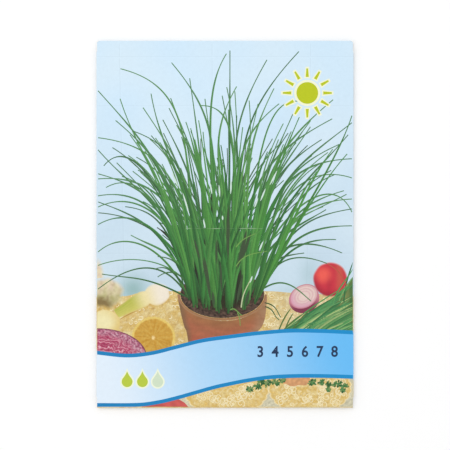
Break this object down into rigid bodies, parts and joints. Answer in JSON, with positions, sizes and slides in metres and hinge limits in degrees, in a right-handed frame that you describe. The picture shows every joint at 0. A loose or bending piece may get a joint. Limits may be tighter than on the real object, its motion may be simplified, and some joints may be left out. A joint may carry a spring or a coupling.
{
  "type": "seed packet",
  "caption": "Sealed paper packet for garden seed: a folded and glued printed envelope, bulging slightly over a heat-sealed inner sachet of seed.",
  "frame": {"origin": "on the surface that the packet lies on, under the middle of its outline", "axes": "+Z out of the printed front, +Y towards the packet's top edge, +X towards the right edge of the print"},
  "size_m": [0.0804, 0.115, 0.0031],
  "materials": {
    "printed_paper": "coated, satin, full-colour print on the outside, bare white inside",
    "glue": "thin dried glue",
    "foil_laminate": "silvery plastic and foil laminate, slightly crinkled",
    "seed": "matt black seed coat"
  },
  "bodies": {
    "root": {"outer_envelope": "printed_paper", "side_seam_glue_left": "glue", "side_seam_glue_right": "glue", "top_flap_glue": "glue", "sachet_back_film": "foil_laminate", "sachet_front_film": "foil_laminate", "seed_fill": "seed"}
  },
  "joints": []
}
